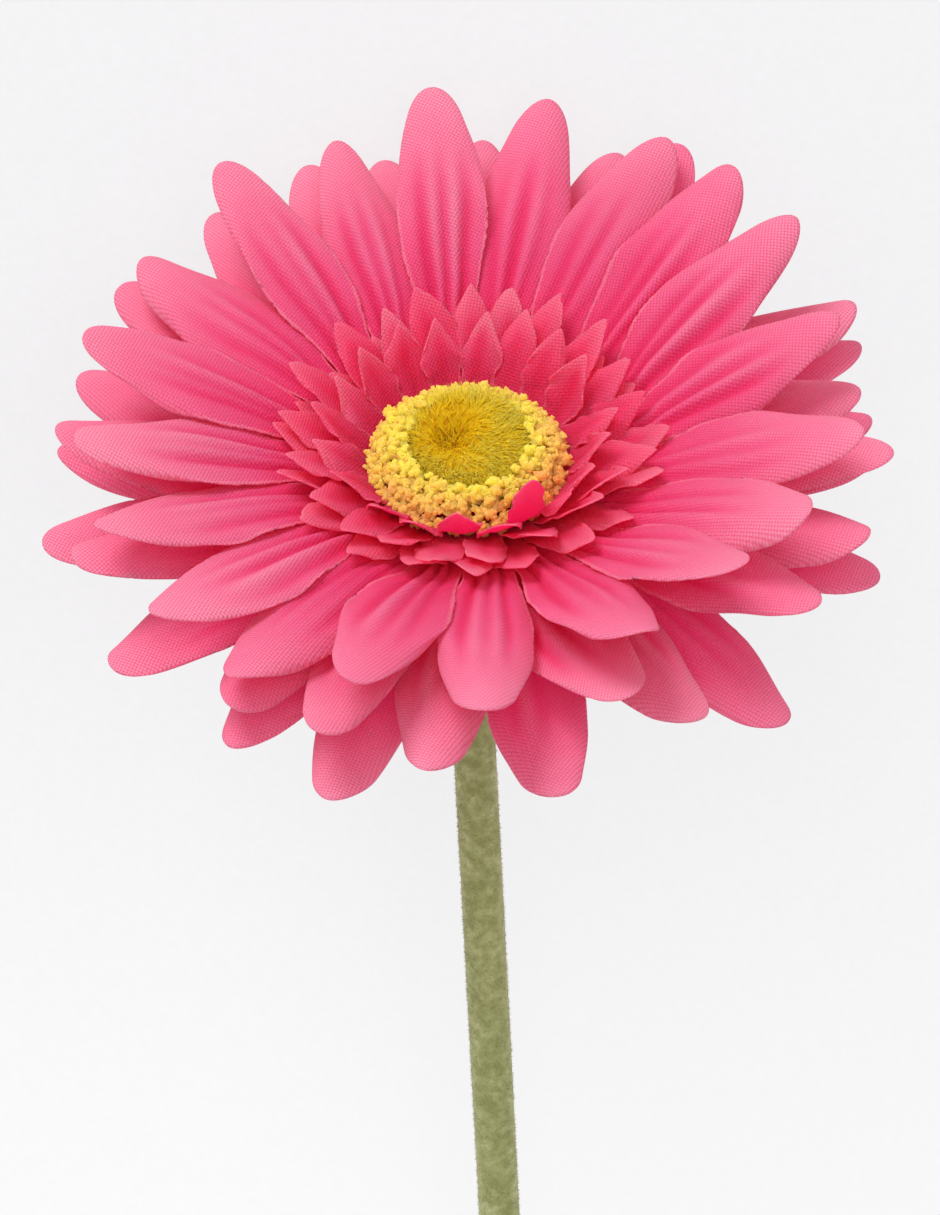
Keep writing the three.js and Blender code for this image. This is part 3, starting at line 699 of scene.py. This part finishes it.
# Two small bits on each crumb.
parent = np.repeat(np.arange(len(radii)), 2)
bump_way = one_long(draw.normal(size=(len(parent), 3)) + [0, 0, 0.5])
bit_places = places[parent] + bump_way * sizes[parent][:, None] * 1.05
bit_tones = tones[parent] + draw.normal(0, 0.05, len(parent))
bit_sizes = sizes[parent] * draw.uniform(0.4, 0.65, len(parent))

# A bed of larger crumbs, which fills the gaps; its deeper orange tone is painted shade between the crumbs
# above.
bed_azimuths = np.tile(full_turn(BED_COUNT), len(BED_RADII))
bed_radii = narrowed(np.repeat(BED_RADII, BED_COUNT), bed_azimuths)
bed = unit(bed_azimuths) * bed_radii[:, None]
bed[:, 2] = np.maximum(mound(bed_radii, bed_azimuths) - BED_SIZE, RING_BASE + 0.45)
places = np.concatenate([places, bit_places, bed])
tones = np.concatenate([tones, bit_tones, np.full(len(bed), BED_SHADE_TONE)])
sizes = np.concatenate([sizes, bit_sizes, np.full(len(bed), BED_SIZE)])
put_on(crumbs("pollen_crumbs", places, sizes, tones, draw), "pollen_ring")

# %% [markdown]
# ## The pile button
#
# The middle is a button of cut pile, like a tiny brush: fine yellow fibres that stand on a round pad and
# splay outwards, with a dimple where they part. Hair particles would be lost when the part is exported,
# so each fibre is a thin three-sided spike with one bend, and thousands of them are one mesh.

# %% Cut pile
def cut_pile(tree):
    """Fine dyed fibres: matt from the side, soft to light, lemon at the tip; painted shade turns them ochre
    towards the root and in the dimple.
    """
    tone_and_depth_shade = maths(tree, "MULTIPLY_ADD", attribute(tree, "tone"), 0.22, attribute(tree, "along"))
    dye = ramp(tree, tone_and_depth_shade, [(0.0, "#e0b000"), (0.2, "#ffd600"), (0.5, "#ffe812"), (1.0, "#fff674")])
    fibre = add(tree, "BsdfPrincipled", {"Base Color": dye, "Roughness": 0.55, "Sheen Weight": 0.1,
                                         "Sheen Roughness": 0.4, "Specular IOR Level": 0.15})
    return lit_through(tree, fibre, 0.5, {"Color": dye})


pile = finish("cut_pile_plush", cut_pile)

# %% Spikes on any surface
def three_round(direction, helper):
    """Three unit vectors square to each direction, 120 degrees apart, the first square to the helper too."""
    first = one_long(np.cross(direction, helper))
    second = np.cross(direction, first)
    turn = full_turn(3)[:, None]
    return first[:, None] * np.cos(turn) + second[:, None] * np.sin(turn)


def spikes(roots, middles, ends, thickness):
    """Three-sided fibres with one bend. Each has three points round its root, three thinner ones round
    its middle, and one at its end. Returns points and triangles."""
    direction = one_long(ends - roots)
    circle = three_round(direction, np.where(np.abs(direction[:, 2:]) < 0.9, [[0, 0, 1.0]], [[1.0, 0, 0]]))
    foot = roots[:, None] + circle * thickness[:, None, None] / 2
    waist = middles[:, None] + circle * thickness[:, None, None] * 0.4
    points = np.concatenate([foot, waist, ends[:, None]], axis=1).reshape(-1, 3)
    edges = [(i, (i + 1) % 3) for i in range(3)]
    sides = [[i, j, 3 + j] for i, j in edges] + [[i, 3 + j, 3 + i] for i, j in edges]
    tips = [[3 + i, 3 + j, 6] for i, j in edges]
    return points, repeated(sides + tips + [[0, 2, 1]], len(roots))

# %% The button
FIBRES = 5600
BUTTON_RADIUS = 8.6  # mm
PARTING = np.array([-2.3, 2.2])  # mm, where the fibres part
DIMPLE_DEPTH, DIMPLE_REACH = 2.3, 2.6  # mm
draw = np.random.default_rng(12)


def button_height(spot):
    """Height of the pile's surface at (x, y): a dome, a little higher at the back, less a dimple of
    2.3 mm where the fibres part."""
    radius = np.linalg.norm(spot, axis=-1)
    rim = 3.4 * np.sqrt(np.clip(1 - (radius / 8.95) ** 5, 0, 1)) * (1 + 0.06 * np.maximum(spot[..., 1], 0))
    from_parting = ((spot - PARTING) ** 2).sum(axis=-1)
    return RING_BASE + rim - DIMPLE_DEPTH * np.exp(-(from_parting / DIMPLE_REACH**2))


spot_radius = BUTTON_RADIUS * np.sqrt(draw.uniform(0.0, 1, FIBRES))[:, None]
roots = unit(draw.uniform(0, 2 * np.pi, FIBRES)) * spot_radius
away = np.concatenate([roots[:, :2] - PARTING, np.zeros((FIBRES, 1))], axis=1)
reach_out = np.linalg.norm(away, axis=1, keepdims=True)
lean = np.clip(reach_out / 4, 0.2, 1) * away / (reach_out + 0.2)
lean = lean * (1.2 - 0.6 * (spot_radius / BUTTON_RADIUS) ** 4)
swirl = 0.7 * np.sin(0.9 * roots[:, :1] + 1.0) * np.sin(0.8 * roots[:, 1:2])  # tufts fall their own way
swirl = swirl + draw.normal(0, 0.35, (FIBRES, 1))
lean = lean * np.cos(swirl) + np.cross(lean, [0, 0, 1.0]) * np.sin(swirl)
roots[:, 2] = button_height(roots[:, :2]) - 1.7
jitter = draw.normal(0, 0.4, (FIBRES, 3))
half_long = draw.uniform(2.2, 3.6, FIBRES)[:, None] * 0.5
middles = roots + one_long(0.7 * lean + [0, 0, 1] + jitter * 0.7) * half_long
ends = middles + one_long(1.9 * lean + [0, 0, 0.6] + jitter * 1.3) * half_long
fibre_points, fibre_faces = spikes(roots, middles, ends, draw.uniform(0.1, 0.16, FIBRES))
# Place along each fibre from root to tip; the finish paints the roots darker ochre as shade down in the pile.
fibre_along = np.tile([0.05] * 3 + [0.55] * 3 + [1.0], FIBRES)
# Painted shade: fibres near the parting take a deeper ochre tone, as the dimple's shade.
dimple_shade = np.exp(-((reach_out[:, 0] / 3.0) ** 2))
fibre_tone_and_dimple_shade = np.repeat(draw.normal(0, 0.5, FIBRES) - 2.6 * dimple_shade, 7)
print("fibres:", FIBRES)

# %% The pad under the fibres, and both as one piece
PAD_DEPTH, PAD_ALONG = 0.8, 0.12  # mm below the pile's surface, and its place on the fibres' colours, in the painted root shade
pad_radius = np.linspace(0.4, BUTTON_RADIUS, 16)[::-1, None]
pad = unit(full_turn(48)[None, :]) * pad_radius[..., None]
pad[..., 2] = button_height(pad[..., :2]) - PAD_DEPTH
pad = np.concatenate([pad[:1] * [1, 1, 0] + [0, 0, RING_BASE], pad])
pad_index = numbered(pad)
poles = np.array([[0, 0, button_height(np.zeros(2)) - PAD_DEPTH], [0, 0, RING_BASE]])
pad_faces = np.concatenate([triangles(grid_quads(pad_index, wrap=True)), fan(pad_index[-1], pad_index.size),
                            fan(pad_index[0], pad_index.size + 1, (1, 0, 2))])
pad_count = pad_index.size + len(poles)
button_piece = make_piece("pile_button",
                          in_row_frame(np.concatenate([pad.reshape(-1, 3), poles, fibre_points])),
                          np.concatenate([pad_faces, fibre_faces + pad_count]), pile,
                          values={"along": np.concatenate([np.full(pad_count, PAD_ALONG), fibre_along]),
                                  "tone": np.concatenate([np.zeros(pad_count), fibre_tone_and_dimple_shade])})
put_on(button_piece, "centre_button")

# %% [markdown]
# ## The calyx and the bush
#
# Behind the petals sits a cup of moulded green polyethylene with twelve pointed bracts. Low polygons
# would show at its rim, so the cup is turned finely, and each bract is a curved tongue. Moulded
# polyethylene is slightly waxy: a wide soft highlight, and a little light goes in.

# %% Moulded polyethylene
def moulded_polyethylene(tree, light, dark):
    """Waxy moulded plastic, IOR 1.51, with the faint flow marks and grain of its mould."""
    grain = noise(tree, 2600.0, 2.0)
    tint = ramp(tree, noise(tree, 220.0, 3.0), [(0.25, dark), (0.75, light)])
    plastic = add(tree, "BsdfPrincipled", {"Base Color": tint, "IOR": 1.51, "Subsurface Weight": 0.15,
                                           "Subsurface Scale": 0.001,
                                           "Roughness": between(tree, grain, 0.36, 0.56),
                                           "Normal": bump(tree, 0.35, 0.00008, grain)})
    return plastic


green_plastic = finish("moulded_polyethylene_green", moulded_polyethylene, "#8fa65a", "#74904a")
bush_plastic = finish("moulded_polyethylene_bush", moulded_polyethylene, "#a9bb7a", "#93a764")
bush_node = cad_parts["hub_bush"]
bush_node.data.materials.clear()
bush_node.data.materials.append(bush_plastic)

# %% Cup and bracts
CALYX_TOP = -2.6  # mm
CALYX_FOOT = CALYX_TOP - 9.4
NECK_RADIUS, CALYX_RADIUS, CALYX_BORE = 3.4, 9.0, 1.45  # mm
BRACTS, CUP_SIDES = 12, 96
BRACT_HALF = 0.35  # mm, half a bract's thickness


def flank(share):
    """The cup's side: radius grows as a sine and height as a 1.4 power, from the neck to the rim."""
    radius = NECK_RADIUS + (CALYX_RADIUS - NECK_RADIUS) * np.sin(share * np.pi / 2)
    height = CALYX_FOOT + 1.6 + (CALYX_TOP - 0.5 - CALYX_FOOT - 1.6) * share**1.4
    return radius, height


cup_share = np.linspace(0, 1, 22)
cup_radius, cup_height = flank(cup_share)
profile = np.concatenate([
    [[CALYX_BORE, CALYX_FOOT], [NECK_RADIUS - 0.25, CALYX_FOOT], [NECK_RADIUS, CALYX_FOOT + 0.25]],
    np.stack([cup_radius, cup_height], axis=-1),
    [[CALYX_RADIUS - 0.12, CALYX_TOP - 0.15], [CALYX_RADIUS - 0.4, CALYX_TOP], [CALYX_BORE, CALYX_TOP]]])
cup_turn = full_turn(CUP_SIDES)
fluting = np.concatenate([[0, 0, 0.3], 0.3 + 0.7 * cup_share, [1, 0.4, 0]])[:, None]
cup_r = profile[:, :1] + 0.18 * fluting * np.cos(BRACTS * cup_turn)[None, :]
cup = unit(cup_turn)[None] * cup_r[..., None]
cup[..., 2] = profile[:, 1:]
cup_index = numbered(cup)
cup_faces = grid_quads(np.concatenate([cup_index, cup_index[:1]]), wrap=True)

part = np.linspace(0, 1, 12)[:, None]
side = np.linspace(-1, 1, 9)[None, :]
tongue_width = 0.6 + 1.0 * np.sin(np.pi * np.clip(part * 0.78 + 0.12, 0, 1)) - 1.35 * ease(0.72, 1, part)
tongue_r, tongue_z = flank(0.08 + 0.92 * part)
stand = -0.1 + 0.62 * part**1.5
tongue_r = tongue_r + stand - 0.25 * side**2 + 0.12 * np.exp(-((side / 0.3) ** 2)) * (1 - part)
tongue_z = tongue_z - 0.5 * stand + 0 * side
tongue_x = side * tongue_width
around_cup = full_turn(BRACTS)[:, None, None]
layers = []
for depth in (BRACT_HALF, -BRACT_HALF):
    layer = (tongue_r + depth)[..., None] * unit(around_cup)
    layer = layer + tongue_x[..., None] * unit(around_cup + np.pi / 2)
    layer[..., 2] += tongue_z - 0.4 * depth
    layers.append(layer)
shells = np.concatenate([layers[0], layers[1][:, :, ::-1]], axis=2)
index = numbered(shells[0])
half = index.shape[1] // 2
foot_cap, tip_cap = [np.stack([row[:half - 1], row[1:half], row[::-1][1:half], row[::-1][:half - 1]], axis=-1)
                     for row in (index[0], index[-1])]
one_bract = np.concatenate([grid_quads(index, wrap=True), foot_cap[:, ::-1], tip_cap])
calyx_points = np.concatenate([cup.reshape(-1, 3), shells.reshape(-1, 3)])
calyx_faces = np.concatenate([cup_faces, repeated(one_bract, BRACTS) + cup_index.size])
put_on(make_piece("moulded_calyx", in_row_frame(calyx_points), calyx_faces, green_plastic), "calyx")

# %% [markdown]
# ## The stem
#
# A steel wire runs through a soft tube, and the tube is flocked: fibres about 0.4 mm long stand up on it
# in glue, which makes the stem look like velvet, pale at its edges and mottled where the flock was
# rubbed. The tube follows one path: down the flower's axis, through a gentle bend, and then straight.

# %% The path
COLLAR = 12.3  # mm from the hub to the sleeve's first end
NECK_BEND = 25.0  # degrees
NECK_ARC, STRAIGHT = 36.0, 244.0  # mm
PACE = 0.5  # mm, at which the path is added up


def stem_path(distances):
    """Middle of the stem and its up direction at distances in mm from the sleeve's first end. The line's
    slope falls evenly from 31 to 6 degrees over the bend and then stays, and the path is its running sum."""
    def slope_at(s):
        return np.radians(FACE_ELEVATION - NECK_BEND * np.clip(s / NECK_ARC, 0, 1))

    knots = np.arange(0, NECK_ARC + STRAIGHT + PACE, PACE)
    axis = math.radians(FACE_ELEVATION)
    y, z = [-COLLAR * wave(axis) - np.interp(distances, knots, np.concatenate(
        [[0], np.cumsum(wave(slope_at(knots[:-1] + PACE / 2))) * PACE])) for wave in (np.cos, np.sin)]
    tilt = slope_at(distances)
    up = np.stack([0 * tilt, -np.sin(tilt), np.cos(tilt)], axis=-1)
    return np.stack([0 * y, y, z], axis=-1), up


def round_the_path(distances, radius, turn):
    """Points at a radius and a turn round the path: middle + radius (x sin turn - up cos turn), metres."""
    middle, up = stem_path(distances)
    across = np.array([1.0, 0, 0])
    radius = np.asarray(radius)[..., None]
    offset = across * np.sin(turn)[..., None] - up * np.cos(turn)[..., None]
    return (middle + radius * offset) * MM + HUB, offset


LENGTH = NECK_ARC + STRAIGHT
print("sleeve length, mm:", LENGTH)

# %% Flocked velvet
def flocked_velvet(tree):
    """Short upright nylon flock: very matt, with a pale sheen at a grazing look, in rubbed patches."""
    patches = noise(tree, 520.0, 4.0, Roughness=0.65)
    dye = ramp(tree, maths(tree, "MULTIPLY_ADD", attribute(tree, "tone"), 0.14, patches),
               [(0.3, "#92955c"), (0.45, "#a6a970"), (0.58, "#b9ba86"), (0.75, "#d3d2ac")])
    relief = bump(tree, 0.8, 0.00012, noise(tree, 4000.0, 2.0))
    flock = add(tree, "BsdfPrincipled", {"Base Color": dye, "Roughness": 0.9, "Specular IOR Level": 0.1,
                                         "Sheen Weight": 0.6, "Sheen Roughness": 0.5,
                                         "Sheen Tint": linear("#eeeacb"), "Normal": relief})
    return flock


velvet = finish("flocked_velvet_sleeve", flocked_velvet)

# %% The sleeve and its flock
FLOCK = 26000
SLEEVE_RADIUS, SLEEVE_BORE, FLOCK_FOOT = 2.9, 1.45, 2.82  # mm
draw = np.random.default_rng(13)
stations = np.concatenate([np.linspace(0, NECK_ARC, 25), np.linspace(NECK_ARC, LENGTH, 42)[1:]])
outer, inner = [round_the_path(stations[:, None], radius, full_turn(40))[0]
                for radius in (SLEEVE_RADIUS, SLEEVE_BORE)]
tube = np.concatenate([outer, inner[::-1]])
tube_index = numbered(tube)
tube_faces = triangles(grid_quads(np.concatenate([tube_index, tube_index[:1]]), wrap=True))

flock_distance = draw.uniform(0, LENGTH, FLOCK)
flock_turn = draw.uniform(0, 2 * np.pi, FLOCK)
flock_roots, flock_out = round_the_path(flock_distance, FLOCK_FOOT, flock_turn)
flock_way = one_long(flock_out + draw.normal(0, 0.4, (FLOCK, 3)))
flock_ends = flock_roots + flock_way * draw.uniform(0.3, 0.42, FLOCK)[:, None] * MM
feet = flock_roots[:, None] + 0.055 * MM * three_round(flock_way, [0.0, 1.0, 0.0])
flock_points = np.concatenate([feet, flock_ends[:, None]], axis=1).reshape(-1, 3)
flock_faces = repeated([[0, 1, 3], [1, 2, 3], [2, 0, 3], [0, 2, 1]], FLOCK)
# Painted shade: the fibres' feet and the tube between them are darker and the tips lighter, as shade down
# among the flock.
flock_tone_and_depth_shade = np.repeat(draw.normal(0, 1, FLOCK), 4) + np.tile([-0.5, -0.5, -0.5, 0.6], FLOCK)
sleeve_piece = make_piece("flocked_sleeve", np.concatenate([tube.reshape(-1, 3), flock_points]),
                          np.concatenate([tube_faces, flock_faces + tube_index.size]), velvet,
                          values={"tone": np.concatenate([np.full(tube_index.size, -0.8), flock_tone_and_depth_shade])})
put_on(sleeve_piece, "stem_sleeve")

# %% [markdown]
# ## The wire
#
# The wire is drawn mild steel, 2.2 mm thick, cropped flush at the cut end and coated thinly against
# rust. Drawing leaves fine lines along it, which stretch its highlight.

# %% Drawn steel
def drawn_steel(tree):
    """Drawn wire: metallic, roughness about 0.35, with lengthwise draw lines 0.1 mm apart."""
    place = add(tree, "TexCoord").outputs["Object"]
    stretched = add(tree, "Mapping", {"Vector": place, "Scale": (9000.0, 120.0, 9000.0)}).outputs["Vector"]
    lines = noise(tree, 1.0, 2.0, stretched)
    shade = ramp(tree, lines, [(0.3, "#8e9093"), (0.7, "#b9bbbe")])
    bare = add(tree, "BsdfPrincipled", {"Base Color": shade, "Metallic": 1.0,
                                        "Roughness": between(tree, lines, 0.28, 0.45)})
    return bare


steel = finish("drawn_steel_wire", drawn_steel)

# %% The wire, from the front of the bush to the cut end
WIRE_RADIUS, WIRE_END_RADIUS = 1.1, 0.85  # mm
AHEAD, CHAMFER = 3.0, 0.2  # mm in front of the hub, and the length of the worn edge there
wire_stations = np.concatenate([[0, 0.0], stations, [LENGTH]])
wire_radii = np.concatenate([np.full(len(stations) + 2, WIRE_RADIUS), [WIRE_END_RADIUS]])
wire, _ = round_the_path(wire_stations[:, None], wire_radii[:, None], full_turn(24))
axis_way = HEAD @ np.array([0, 0, 1.0])
wire[0] += axis_way * (COLLAR + AHEAD) * MM
wire[1] += axis_way * (COLLAR + AHEAD - CHAMFER) * MM
wire_middle = wire[0].mean(axis=0)
wire[0] = wire_middle + (wire[0] - wire_middle) * 0.8
wire[-2] -= (wire[-1].mean(axis=0) - wire[-3].mean(axis=0)) * 0.04
wire_index = numbered(wire)
wire_faces = np.concatenate([triangles(grid_quads(wire_index, wrap=True)),
                             fan(wire_index[0], wire_index.size, (1, 0, 2)),
                             fan(wire_index[-1], wire_index.size + 1)])
wire_points = np.concatenate([wire.reshape(-1, 3), [wire[0].mean(axis=0), wire[-1].mean(axis=0)]])
put_on(make_piece("drawn_wire", wire_points, wire_faces, steel), "stem_wire")

# %% [markdown]
# ## Camera
#
# The camera looks down at the face at 40 degrees from the flower's axis, from 0.6 m away. The lens is
# long, so the petals near and far keep their proportions. The picture is taller than it is wide, with
# the head above its middle and the stem leaving at the foot.

# %% Camera
VIEW_ANGLE = math.radians(40)
VIEW_DISTANCE = 0.6  # m from the hub
FIELD = 0.15795  # m, height of the picture at the hub
SHIFT_UP, SHIFT_RIGHT = -0.0172, 0.00026  # m, the camera's shift from the line through the hub
SENSOR = 36  # mm
towards = HEAD @ np.array([0, -math.sin(VIEW_ANGLE), math.cos(VIEW_ANGLE)])
upward = HEAD @ np.array([0, math.cos(VIEW_ANGLE), math.sin(VIEW_ANGLE)])
rightward = np.cross(upward, towards)
lens = bpy.data.cameras.new("camera")
lens.sensor_width = SENSOR
lens.lens = SENSOR * VIEW_DISTANCE / FIELD
lens.clip_start = 0.01
camera = bpy.data.objects.new("camera", lens)
stand_at = HUB + towards * VIEW_DISTANCE + upward * SHIFT_UP + rightward * SHIFT_RIGHT
pose = np.column_stack([rightward, upward, towards, stand_at])
camera.matrix_world = Matrix([*pose.tolist(), (0, 0, 0, 1)])
bpy.context.scene.collection.objects.link(camera)
bpy.context.scene.camera = camera
print("lens, mm:", round(lens.lens, 2))

# %% [markdown]
# ## Studio
#
# The flower lies on a pale floor that glows a little as painted light, weaker beyond the head, so its shadows
# stay faint.
# A soft light beyond the flower's top edge rakes over the petals and shines through the ones that stand
# up in front of it. A wide weak one beside the camera opens the shadows, and a pale sky fills in all round.

# %% Pale floor
FLOOR_HALF, FLOOR_DROP = 3.0, 0.0006  # m, from its middle to an edge, and how far it lies below the part


def glowing_paper(tree):
    """White paper with painted light: mostly its own glow, painted weaker beyond the head, with a trace of
    grain.
    """
    shade = ramp(tree, noise(tree, 900.0, 2.0), [(0.3, "#6f6f70"), (0.7, "#747475")])
    paper = add(tree, "BsdfDiffuse", {"Color": shade})
    depth = add(tree, "SeparateXYZ", {0: add(tree, "TexCoord").outputs["Object"]}).outputs["Y"]
    # Painted light: the paper glows by its own emission, painted weaker beyond the head.
    light = add(tree, "Emission", {"Color": linear("#fbfbfc"),
                                   "Strength": between(tree, depth, 0.905, 0.75, -0.12, 0.12)})
    return add(tree, "AddShader", {0: paper.outputs[0], 1: light.outputs[0]})


floor_corners = np.array([[-1, -1], [1, -1], [1, 1], [-1, 1]]) * FLOOR_HALF
floor_points = np.column_stack([floor_corners, np.full(4, -FLOOR_DROP)])
floor = make_piece("floor", floor_points, np.array([[0, 1, 2, 3]]), finish("glowing_paper", glowing_paper),
                   smooth=False)

# %% Soft light and sky
LAMP_DISTANCE = 1.2  # m
SKY_STRENGTH = 0.61
LAMPS = {"key": (0.85 * upward + 0.64 * towards - 0.4 * rightward, 0.6, 12),
         "fill": (0.1 * rightward + towards, 1.1, 5)}  # way from the head, width in m, and watts
for label, (way, width, watts) in LAMPS.items():
    data = bpy.data.lights.new(label, "AREA")
    data.shape = "DISK"
    data.size = width
    data.energy = watts
    lamp = bpy.data.objects.new(label, data)
    way = Vector(way).normalized()
    turn = way.to_track_quat("Z", "Y").to_matrix().to_4x4()
    lamp.matrix_world = Matrix.Translation(Vector(HUB) + way * LAMP_DISTANCE) @ turn
    bpy.context.scene.collection.objects.link(lamp)

world = bpy.data.worlds.new("sky")
world.use_nodes = True
sky = world.node_tree.nodes["Background"]
sky.inputs["Color"].default_value = linear("#fbfcff")
sky.inputs["Strength"].default_value = SKY_STRENGTH
bpy.context.scene.world = world
bpy.context.scene.view_settings.view_transform = "Standard"
